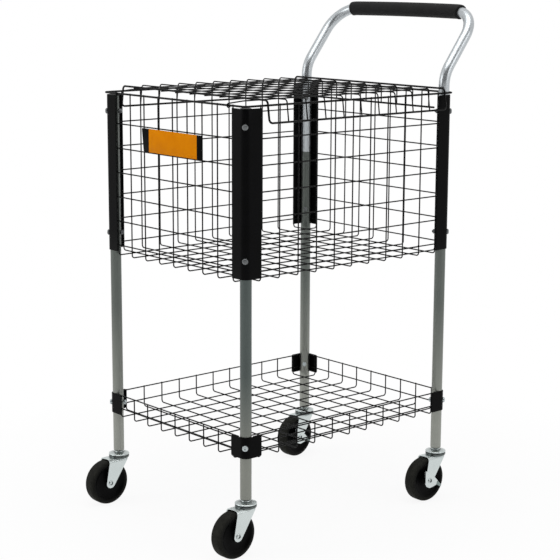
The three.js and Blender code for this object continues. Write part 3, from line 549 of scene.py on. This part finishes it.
# Basket: 3 mm steel wires welded into a grid and dipped black. Each upright turns in at the bottom
# and carries on as a floor wire. The rows run inside the uprights and end at the legs.
wire = 3.0
heavy_wire = 4.5
pitch_x = 52.0
pitch_y = 53.0
columns_x = np.arange(-4, 5) * pitch_x
columns_y = np.arange(-5, 6) * pitch_y
upright_y = leg_y + 11.0
upright_x = leg_x + 11.0
row_y = leg_y + 9.0
row_x = leg_x + 9.0
row_end_x = leg_x - 12.8
row_end_y = leg_y - 12.8
basket_top = 972.75
basket_rows = 901.5 - 56.0 * np.arange(6)
basket_floor_y = 598.5
basket_floor_x = 600.5
bend_radius = 6.5
floor_start = bend_radius + 1.0
# Black dip coat on drawn wire: satin, with small runs that follow the wire
wire_coat = coating("black_dipped_wire", "#080808", "#101010", 0.0, 0.4, 12.0, 1.6, 0.05, 0.1)


def rod(start, end, diameter, ends=(0.5, 0.5), sides=12):
    """A straight wire between two points, its cut ends a little rounded."""
    along = np.asarray(end, float) - np.asarray(start, float)
    beside = (0.0, 0.0, 1.0) if abs(along[2]) < np.linalg.norm(along) / 2 else (1.0, 0.0, 0.0)
    return carried([start, end], diameter / 2, beside, sides, ends=ends)


def wire_wall(across_x, sign, rows, top, floor):
    """Uprights that turn in to the floor, with rows across on their inner side. A wall that runs across X
    stands out along Y, and one that runs across Y stands out along X."""
    columns, upright, row, row_end, beside = (
        (columns_x, upright_y, row_y, row_end_x, (1, 0, 0)) if across_x else
        (columns_y, upright_x, row_x, row_end_y, (0, 1, 0)))

    def at(along, out, height):
        return (along, sign * out, height) if across_x else (sign * out, along, height)

    parts = []
    for along in columns:
        path = rounded_path([at(along, upright, top), at(along, upright, floor),
                             at(along, upright - floor_start, floor)], [bend_radius], 8)
        parts.append(carried(path, wire / 2, beside, 12, ends=(0.5, 0.0)))
    for height in rows:
        parts.append(rod(at(-row_end, row, height), at(row_end, row, height), wire))
    return parts


def wire_floor(floor_y, floor_x):
    """Wires along Y with wires along X on top, each starting where a wall's bend ends."""
    reach_y = upright_y - floor_start
    reach_x = upright_x - floor_start
    parts = [rod((x, -reach_y, floor_y), (x, reach_y, floor_y), wire, (0.0, 0.0)) for x in columns_x]
    return parts + [rod((-reach_x, y, floor_x), (reach_x, y, floor_x), wire, (0.0, 0.0)) for y in columns_y]


def wire_box(kind, rows, top, floor_y, floor_x):
    """Four walls and a floor, each a piece of its own."""
    for name, across_x, sign in (("front", True, -1), ("back", True, 1),
                                 ("left", False, -1), ("right", False, 1)):
        wall = wire_wall(across_x, sign, rows, top, floor_y if across_x else floor_x)
        make_piece(f"{kind}_{name}_wires", wall, wire_coat, "frame", [f"{kind}_{name}"])
    make_piece(f"{kind}_floor_wires", wire_floor(floor_y, floor_x), wire_coat, "frame", [f"{kind}_floor"])


wire_box("basket", basket_rows, basket_top, basket_floor_y, basket_floor_x)

# Rim: a closed hoop of heavy 4.5 mm wire, bent at the corners and welded to the outside of the
# uprights. It passes over the tops of the brackets.
rim_x = 251.55
rim_y = 311.05
rim_z = 970.5
rim_corner_radius = 11.0
rim_corners = [(rim_x, -rim_y, rim_z), (rim_x, rim_y, rim_z), (-rim_x, rim_y, rim_z), (-rim_x, -rim_y, rim_z)]
rim_path = rounded_path(rim_corners, [rim_corner_radius] * 4, 10, looped=True)
make_piece("rim_hoop", [carried(rim_path, heavy_wire / 2, (0, 0, 1), 16, looped=True)], wire_coat, "frame",
           ["basket_rim"])

# Tray: the same 3 mm wires, welded and dipped as the basket's are, two rows high. The short
# brackets hold its corners.
wire_box("tray", rows=(262.0, 230.5), top=263.5, floor_y=211.0, floor_x=213.0)

# Name plate: a plain sheet plate 216 mm by 52 mm on the front uprights, printed orange between
# black ends, with eased corners. Its face is plain.
plate_half = 108.0
plate_span = (847.5, 899.5)
plate_back = -308.8
plate_thickness = 2.0
plate_corner = 2.5
orange_half = 86.0
orange_middle = 4.0
print_edge = 0.2
turn = np.linspace(0, np.pi / 2, 6)
quarter = plate_corner * np.stack([np.cos(turn), np.sin(turn)], -1)
middle = np.array([0.0, sum(plate_span) / 2])
plate_size = np.array([plate_half, (plate_span[1] - plate_span[0]) / 2])
half = plate_size - plate_corner
outline = np.concatenate([quarter + half, quarter[:, ::-1] * (-1, 1) + half * (-1, 1), -quarter - half,
                          quarter[:, ::-1] * (1, -1) + half * (1, -1)]) + middle
# The left end is cut aslant: its foot stands in by a little
plate_slant = 6.0
left_share = (outline[:, 0] < 0) * (plate_span[1] - outline[:, 1]) / (plate_span[1] - plate_span[0])
outline = outline + np.stack([plate_slant * left_share, 0 * left_share], -1)
centre_share = outline - middle
plate_rings = []
for inset, depth in ((0.0, 0.0), (0.0, 1.7), (0.3, plate_thickness)):
    ring = middle + centre_share * (1 - inset / plate_size)
    plate_rings.append(np.stack([ring[:, 0], np.full(len(ring), plate_back - depth), ring[:, 1]], -1))
plate_points = np.concatenate(plate_rings)
plate_faces = ring_faces(len(plate_rings), len(outline))
# Screen print on coated sheet: an even satin orange between black, faintly uneven under the squeegee
plate_print, tree = new_material("orange_screen_print")
place = add_node(tree, "ShaderNodeTexCoord")
here = {"Vector": (place, "Object")}
spot = add_node(tree, "ShaderNodeSeparateXYZ", links={0: (place, "Object")})
print_middle, front_face_y, _ = in_frame((orange_middle, plate_back - plate_thickness, 0.0)).tolist()
off_middle = add_node(tree, "ShaderNodeMath", {1: -print_middle}, {0: (spot, "X")}, operation="ADD")
off_middle = add_node(tree, "ShaderNodeMath", links={0: (off_middle, 0)}, operation="ABSOLUTE")
past_end = add_node(tree, "ShaderNodeMapRange", {"From Min": (orange_half - print_edge) / 1000.0,
                                                 "From Max": (orange_half + print_edge) / 1000.0},
                    {"Value": (off_middle, 0)})
front_face = add_node(tree, "ShaderNodeMapRange", {"From Min": front_face_y + 0.0005, "To Min": 1.0,
                                                   "From Max": front_face_y + 0.0002, "To Max": 0.0},
                      {"Value": (spot, "Y")})
black_share = add_node(tree, "ShaderNodeMath", links={0: (past_end, 0), 1: (front_face, 0)},
                       operation="MAXIMUM")
mottle = add_node(tree, "ShaderNodeTexNoise", {"Scale": 1000.0 / 22.0, "Detail": 4.0}, here)
share = add_node(tree, "ShaderNodeMapRange", {"From Min": 0.3, "From Max": 0.7}, {"Value": (mottle, 0)})
orange = add_node(tree, "ShaderNodeMix", {"A": colour("#dd8000"), "B": colour("#e58a02")},
                  {"Factor": (share, 0)}, data_type="RGBA")
tint = add_node(tree, "ShaderNodeMix", {"B": colour("#070707")},
                {"Factor": (black_share, 0), "A": (orange, "Result")}, data_type="RGBA")
gloss = add_node(tree, "ShaderNodeMapRange", {"From Min": 0.3, "From Max": 0.7, "To Min": 0.34,
                                              "To Max": 0.46}, {"Value": (mottle, 0)})
weave = add_node(tree, "ShaderNodeTexNoise", {"Scale": 1000.0 / 1.5, "Detail": 1.0}, here)
skin = add_node(tree, "ShaderNodeBump", {"Strength": 0.3, "Distance": 0.00004}, {"Height": (weave, 0)})
shader = add_node(tree, "ShaderNodeBsdfPrincipled", {"Specular IOR Level": 0.02},
                  {"Base Color": (tint, "Result"), "Roughness": (gloss, 0), "Normal": (skin, 0)})
add_node(tree, "ShaderNodeOutputMaterial", links={"Surface": (shader, 0)})
make_piece("front_name_plate", [(plate_points, plate_faces)], plate_print, "frame", ["name_plate"])

# Lid: a wire cap on two hinges. One closed loop of heavy wire makes its front and back bars and the
# bottom bars of its side skirts. Thin wires across and along are welded to it.
lid_bar_z = 981.5
lid_front_y = -254.0
lid_back_y = 276.0
lid_side_x = 256.0
skirt_bar_x = 263.05
skirt_bar_z = 934.3
loop_corner_radius = 8.5
wire_corner_radius = 7.0
loop_corners = [(-lid_side_x, lid_front_y, lid_bar_z), (lid_side_x, lid_front_y, lid_bar_z),
                (skirt_bar_x, lid_front_y, skirt_bar_z), (skirt_bar_x, lid_back_y, skirt_bar_z),
                (lid_side_x, lid_back_y, lid_bar_z), (-lid_side_x, lid_back_y, lid_bar_z),
                (-skirt_bar_x, lid_back_y, skirt_bar_z), (-skirt_bar_x, lid_front_y, skirt_bar_z)]
loop_path = rounded_path(loop_corners, [loop_corner_radius] * 8, 10, looped=True)
heavy_loop = carried(loop_path, heavy_wire / 2, (1.0, 1.0, 1.0), 16, looped=True)
top_and_sides = ["lid_top", "lid_left_skirt", "lid_right_skirt"]
make_piece("lid_heavy_loop", [heavy_loop], wire_coat, "lid", top_and_sides)

lid_rows = lid_back_y - pitch_y * np.arange(1, 10)
across_z = 980.75
across_wires = []
for y in lid_rows:
    path = rounded_path([(-skirt_bar_x + 0.4, y, skirt_bar_z - 1.2), (-lid_side_x, y, across_z),
                         (lid_side_x, y, across_z), (skirt_bar_x - 0.4, y, skirt_bar_z - 1.2)],
                        [wire_corner_radius] * 2, 8)
    across_wires.append(carried(path, wire / 2, (0, 1, 0), 12, ends=(0.5, 0.5)))
make_piece("lid_cross_wires", across_wires, wire_coat, "lid", top_and_sides)

along_z = 978.75
along_start_y = -259.25
back_bar_z = 936.5
back_bar_half = 226.0
along_wires = []
for x in columns_x:
    path = rounded_path([(x, along_start_y, along_z), (x, lid_back_y, along_z),
                         (x, lid_back_y, back_bar_z - 1.0)], [wire_corner_radius], 8)
    along_wires.append(carried(path, wire / 2, (1, 0, 0), 12, ends=(0.5, 0.5)))
make_piece("lid_long_wires", along_wires, wire_coat, "lid", ["lid_top", "lid_back_skirt"])
back_bar = rod((-back_bar_half, lid_back_y, back_bar_z), (back_bar_half, lid_back_y, back_bar_z), heavy_wire,
               sides=16)
make_piece("lid_back_bar", [back_bar], wire_coat, "lid", ["lid_back_skirt"])

# Hinges: two 3 mm wires welded under the lid, each curled round the front of the rim, which is
# its pin.
curl_radius = 4.15
hinge_x = 199.0
arm_z = 977.45
arm_back_y = -196.0
arm_front_y = -272.0
arm = np.array([(0.0, arm_back_y, arm_z), (0.0, arm_front_y, arm_z)])
curl_angle = np.radians(np.linspace(97.0, 362.0, 34))
curl = np.stack([0 * curl_angle, curl_radius * np.cos(curl_angle) - rim_y,
                 curl_radius * np.sin(curl_angle) + rim_z], -1)
for side, sign in (("left", -1), ("right", 1)):
    path = np.concatenate([arm, curl]) + (sign * hinge_x, 0.0, 0.0)
    curled_wire = carried(path, wire / 2, (1, 0, 0), 12, ends=(0.5, 0.5))
    make_piece(f"{side}_hinge_curl", [curled_wire], wire_coat, "lid", [f"lid_{side}_hinge_wire"])

# Casters: zinc plated pressings. A stem with a coned disc is pressed into each leg, the folded fork
# with its own disc swivels under it, and a riveted axle carries the wheel behind the stem.
wheel_radius = 52.0
axle_height = 50.8
trail = 37.0
hub = (0.0, -trail, axle_height)
# Bright zinc plate on pressed sheet: bluish white, broad soft clouds, faint rolling lines. A near black
# painted shade takes over where a piece's painted shade share goes to one
caster_zinc = coating("zinc_plated_pressing", "#c6cecd", "#d3dad9", 1.0, 0.24, 30.0, 1.0, 0.002,
                      painted_shade="#232a29")
stem_profile = [(6.0, 104.0), (6.0, 112.4), (12.0, 112.4), (22.8, 112.4), (24.0, 112.9), (24.4, 113.8),
                (24.2, 114.8), (23.2, 115.5), (21.6, 116.0), (16.5, 117.3), (14.0, 117.9), (11.6, 118.2),
                (10.4, 118.9), (9.8, 120.2), (10.2, 121.6), (11.6, 122.4), (10.4, 122.9), (10.4, 150.0)]
# Painted shade lies in the groove under the upper disc's rim and in the ring about the neck
stem_painted_shade = [1.0, 1.0, 1.0, 0.9, 0.3, 0.0, 0.0, 0.0, 0.05, 0.2, 0.35, 1.0, 0.5, 0.0, 0.0, 0.0, 0.0, 0.0]
king_rivet = [(8.4, 101.2), (9.0, 101.9), (9.0, 104.0), (8.5, 104.7), (6.0, 104.7)]
lower_disc_profile = [(19.4, 104.7), (22.4, 105.0), (23.6, 106.0), (24.0, 107.4), (24.0, 110.2),
                      (23.5, 111.3), (22.0, 111.9), (12.0, 112.0)]
# The lower disc is painted dark nearly all over: painted shade under the upper disc's rim
lower_disc_painted_shade = [0.6, 0.5, 0.7, 0.85, 0.85, 0.9, 1.0, 1.0]
fork_middle = 17.6
fork_sheet = 2.6
fork_tip_radius = 12.0
front_top, front_foot = (15.0, 107.0), (-26.9, 44.3)
rear_top, rear_foot = (-38.5, 107.0), (-48.8, 50.5)
crown_middle = 106.3
fork_bend = 7.5
caster_turns = {"front_left": -0.5, "front_right": 1.5, "rear_left": 5.0, "rear_right": -1.5}


def folded_fork():
    """The sheet's middle surface. Along: down one leg's height, round a bend, across the crown and down
    the other. Across: from the rear edge to the front edge, which taper in straight lines from the
    crown and close in a circle about the axle. Also each point's share of painted shade, one at the crown's
    front edge."""
    tip = 38.85
    columns = 13

    def taper(top, foot):
        """The straight line from (y, z) at the crown to (y, z) near the axle."""
        return top[0] + (z - top[1]) * (top[0] - foot[0]) / (top[1] - foot[1])

    steps = tip + (crown_middle - fork_bend - tip) * (1 - np.cos(np.linspace(0.0, 0.93, 26) * np.pi / 2)) / (
        1 - math.cos(0.93 * np.pi / 2))
    bend = np.linspace(0.0, np.pi / 2, 7)[1:]
    left = np.stack([np.full(len(steps), -fork_middle), steps], -1)
    left_bend = np.stack([-fork_middle + fork_bend * (1 - np.cos(bend)),
                          crown_middle - fork_bend * (1 - np.sin(bend))], -1)
    crown = np.stack([np.linspace(-fork_middle + fork_bend, 0.0, 7)[1:], np.full(6, crown_middle)], -1)
    half_line = np.concatenate([left, left_bend, crown])
    line = np.concatenate([half_line, half_line[-2::-1] * (-1, 1)])
    z = line[:, 1]
    round_half = np.sqrt(np.clip(fork_tip_radius ** 2 - (z - axle_height) ** 2, 0.05, None))
    front = np.where(z > front_foot[1], taper(front_top, front_foot), -trail + round_half)
    rear = np.where(z > rear_foot[1], taper(rear_top, rear_foot), -trail - round_half)
    bulge = np.where(np.abs(line[:, 0]) < fork_middle - 0.2, 1.5 * (1 - (line[:, 0] / fork_middle) ** 2), 0.0)
    share = np.concatenate([[0.0], np.linspace(0.02, 0.975, columns - 2), [1.0]])
    y = rear[:, None] + (front + bulge - rear)[:, None] * share
    points = np.stack([np.repeat(line[:, :1], columns, 1), y, np.repeat(line[:, 1:], columns, 1)], -1)
    # The crown's front edge is painted dark: painted shade
    edge_painted_shade = np.where((share == 1.0) & (z > crown_middle - fork_bend)[:, None], 1.0, 0.0)
    return points.reshape(-1, 3), grid_faces(len(line), columns).tolist(), edge_painted_shade.ravel()


def rivet_profile(inner, outer):
    """An axle with a rolled, hollow rivet head past each of two places along it."""
    head = [(4.0, 0.0), (6.0, 0.1), (6.2, 0.5), (5.9, 1.2), (5.1, 1.7), (4.2, 1.7), (3.7, 1.3), (3.5, 0.6),
            (3.4, -3.0)]
    return [(r, -inner - a) for r, a in head[::-1]] + [(r, outer + a) for r, a in head]


rivet_seat = 19.2
braked_rivet_seat = 21.7
stem_sides = 48
rivet_sides = 28
wheel_sides = 96
# Painted shade deep in the hollow of each rivet head
rivet_painted_shade = [0.2, 0.1, 0.0, 0.0, 0.1, 0.3, 0.9, 1.0, 1.0]


def wheel_profile():
    """Half of the wheel's section, as radius and distance from its middle, then the same mirrored."""
    half_section = [(4.6, 16.0), (10.4, 16.0), (11.2, 15.5), (12.2, 12.5), (13.2, 10.4), (16.0, 9.2),
                    (24.0, 8.6), (32.0, 8.9), (36.5, 10.4), (39.0, 12.7), (40.6, 14.2), (42.6, 15.0),
                    (46.0, 14.9), (48.4, 14.3), (50.2, 13.1), (51.3, 11.4), (51.85, 9.2), (52.0, 6.5)]
    first_radius, first_away = half_section[0]
    return ([(r, -a) for r, a in half_section] + [(wheel_radius, 0.0)]
            + [(r, a) for r, a in half_section[::-1]] + [(first_radius, -first_away)])


# Hard rubber on a moulded core: the ground tread is painted as a paler band, partly dust and partly painted
# light, and the dished side is darker
wheel_rubber, tree = new_material("black_wheel_rubber")
place = add_node(tree, "ShaderNodeTexCoord")
here = {"Vector": (place, "Object")}
reach = add_node(tree, "ShaderNodeAttribute", attribute_name="from_axle")
tread = add_node(tree, "ShaderNodeMapRange", {"From Min": 41.0, "From Max": 50.0}, {"Value": (reach, "Fac")})
dust = add_node(tree, "ShaderNodeTexNoise", {"Scale": 1000.0 / 9.0, "Detail": 6.0}, here)
grain = add_node(tree, "ShaderNodeTexNoise", {"Scale": 1000.0 / 0.9, "Detail": 2.0}, here)
dusty = add_node(tree, "ShaderNodeMapRange", {"From Min": 0.35, "From Max": 0.7, "To Min": 0.5,
                                              "To Max": 1.0}, {"Value": (dust, 0)})
tread_dust_and_painted_light = add_node(tree, "ShaderNodeMath", links={0: (tread, 0), 1: (dusty, 0)}, operation="MULTIPLY")
tint = add_node(tree, "ShaderNodeMix", {"A": colour("#050505"), "B": colour("#2b2b27")},
                {"Factor": (tread_dust_and_painted_light, 0)}, data_type="RGBA")
gloss = add_node(tree, "ShaderNodeMapRange", {"To Min": 0.42, "To Max": 0.72}, {"Value": (tread_dust_and_painted_light, 0)})
skin = add_node(tree, "ShaderNodeBump", {"Strength": 0.4, "Distance": 0.00008}, {"Height": (grain, 0)})
shader = add_node(tree, "ShaderNodeBsdfPrincipled", {"Specular IOR Level": 0.05},
                  {"Base Color": (tint, "Result"), "Roughness": (gloss, 0), "Normal": (skin, 0)})
add_node(tree, "ShaderNodeOutputMaterial", links={"Surface": (shader, 0)})


def add_share(piece, name, shares, sides):
    """A share for each ring of a turned piece, written to all the points of the ring. With sides of one
    it is a share for each point."""
    band = piece.data.attributes.new(name, "FLOAT", "POINT")
    band.data.foreach_set("value", np.repeat(shares, sides).astype(np.float32))


def swivelled(part, corner):
    """A part drawn about the floor point under a stem, turned by its caster's angle and put under its leg."""
    points, faces = part
    angle = math.radians(caster_turns[corner])
    cos, sin = math.cos(angle), math.sin(angle)
    turn_matrix = np.array([[cos, sin, 0], [-sin, cos, 0], [0, 0, 1]])
    signs = corners[corner]
    return points @ turn_matrix + (signs[0] * leg_x, signs[1] * leg_y, 0.0), faces


for corner, signs in corners.items():
    braked = signs[1] > 0
    foot = (signs[0] * leg_x, signs[1] * leg_y, 0.0)
    turnings = [turned(profile, foot, sides=stem_sides) for profile in (stem_profile, king_rivet)]
    stem = make_piece(f"{corner}_stem_and_disc", turnings, caster_zinc, "frame", [f"{corner}_caster_stem"],
                      sharp=50)
    # The king rivet under the fork gets a light painted shade
    add_share(stem, "painted_shade", stem_painted_shade + [0.3] * len(king_rivet), stem_sides)
    lower_disc = swivelled(turned(lower_disc_profile, sides=stem_sides), corner)
    disc = make_piece(f"{corner}_swivel_disc", [lower_disc], caster_zinc, f"{corner}_swivel",
                      [f"{corner}_caster_fork"], sharp=50)
    add_share(disc, "painted_shade", lower_disc_painted_shade, stem_sides)
    points, faces, edge_painted_shade = folded_fork()
    fork = make_piece(f"{corner}_folded_fork", [swivelled((points, faces), corner)], caster_zinc,
                      f"{corner}_swivel", [f"{corner}_caster_fork"], solidify=fork_sheet, bevel=0.6)
    add_share(fork, "painted_shade", edge_painted_shade, 1)
    outer = braked_rivet_seat if braked else rivet_seat
    axle = turned(rivet_profile(rivet_seat, outer), hub, (1, 0, 0), rivet_sides)
    rivet = make_piece(f"{corner}_axle_rivet", [swivelled(axle, corner)], caster_zinc, f"{corner}_swivel",
                       [f"{corner}_axle"])
    add_share(rivet, "painted_shade", rivet_painted_shade[::-1] + rivet_painted_shade, rivet_sides)
    profile = np.asarray(wheel_profile())
    tyre = swivelled(turned(profile, hub, (1, 0, 0), wheel_sides), corner)
    wheel = make_piece(f"{corner}_rubber_wheel", [tyre], wheel_rubber, f"{corner}_wheel", [f"{corner}_wheel"],
                       sharp=55)
    add_share(wheel, "from_axle", profile[:-1, 0], wheel_sides)

# Brake levers: zinc plated sheet cams on the rear axles, outside the forks, with a flange turned out
# at the rear and a small darker tab on the front arm to press with a toe.
lever_thickness = 2.2
lever_middle = rivet_seat + lever_thickness / 2
lever_outline = np.array([(-0.34, 0.5), (-0.12, 0.46), (0.36, 0.06), (0.53, -0.12), (0.44, -0.26),
                          (0.24, -0.32), (0.0, -0.36), (-0.22, -0.26), (-0.32, -0.06)]) * wheel_radius
lever_radii = [1.5, 5.0, 8.0, 2.5, 2.5, 6.0, 8.0, 8.0, 4.0]
flange_angle = math.radians(66.0)
flange_fold = 2.0
flange_width = 5.6
tab_thickness = 2.5
tab_outline = np.array([(0.47, -0.07), (0.74, -0.34), (0.68, -0.42), (0.4, -0.25)]) * wheel_radius
tab_radii = [1.5, 2.0, 2.0, 1.5]
# Zinc plate in a darker, cloudy grey
tab_zinc = coating("darker_zinc_tab", "#6d7a77", "#94a19e", 0.9, 0.34, 9.0, 0.9, 0.01)


def flat_sheet(outline, radii):
    """An outline in (y, z) with rounded corners, as one flat face in the lever's middle surface."""
    in_place = np.concatenate([np.full((len(outline), 1), lever_middle), outline], 1)
    edge = rounded_path(in_place, radii, 5, looped=True)
    return edge, [list(range(len(edge)))[::-1]]


def turned_flange(levels=6):
    """A strip up the lever's rear edge. Across: a short lap on the lever, a fold of flange_fold's radius
    through flange_angle, and a straight run of flange_width."""
    rear = lever_outline[0, 0]
    bend = np.linspace(0.0, flange_angle, 5)
    fold = np.stack([lever_middle + flange_fold * (1 - np.cos(bend)),
                     rear + 3.1 - flange_fold * np.sin(bend)], -1)
    run = flange_width * np.array([math.sin(flange_angle), -math.cos(flange_angle)])
    strip = np.concatenate([[(lever_middle, rear + 5.0)], fold, [fold[-1] + run]])
    z = np.linspace(lever_outline[-1, 1], lever_outline[0, 1], levels)
    points = np.stack([np.repeat(strip[:, :1], levels, 1), np.repeat(strip[:, 1:], levels, 1),
                       np.tile(z, (len(strip), 1))], -1)
    return points.reshape(-1, 3), grid_faces(len(strip), levels).tolist()


for corner in ("rear_left", "rear_right"):
    cam, tab, flange = [swivelled((points + hub, faces), corner) for points, faces in (
        flat_sheet(lever_outline, lever_radii), flat_sheet(tab_outline, tab_radii), turned_flange())]
    make_piece(f"{corner}_toe_tab", [tab], tab_zinc, f"{corner}_brake", [f"{corner}_brake_lever"],
               solidify=tab_thickness, bevel=0.4)
    make_piece(f"{corner}_brake_cam", [cam, flange], caster_zinc, f"{corner}_brake",
               [f"{corner}_brake_lever"], solidify=lever_thickness, bevel=0.5)
